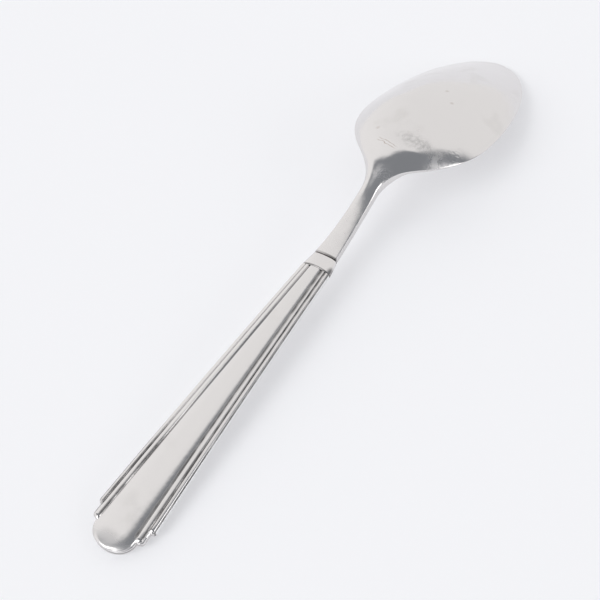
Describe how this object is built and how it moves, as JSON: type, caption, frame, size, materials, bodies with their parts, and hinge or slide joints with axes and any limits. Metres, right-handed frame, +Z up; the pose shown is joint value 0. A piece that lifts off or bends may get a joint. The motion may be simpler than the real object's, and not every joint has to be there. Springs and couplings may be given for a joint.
{
  "type": "tablespoon",
  "caption": "Stainless tablespoon lying face down: egg-shaped bowl, flat arched neck, raised collar and a hollow reeded handle with a round stepped end.",
  "frame": {"origin": "on the table, under the middle of the spoon's length: the bottom centre of its bounding box as it lies face down", "axes": "+X from the handle's end to the bowl's tip, +Y across the bowl, +Z up from the table, out of the back of the bowl"},
  "size_m": [0.1899, 0.039, 0.0204],
  "materials": {
    "head_steel": "satin polished, lightly scratched",
    "collar_steel": "satin polished",
    "handle_steel": "satin polished",
    "cement": "matte"
  },
  "bodies": {
    "root": {"spoon_head": "head_steel", "collar": "collar_steel", "handle_back_shell": "handle_steel", "handle_front_shell": "handle_steel", "handle_filler": "cement"}
  },
  "joints": []
}
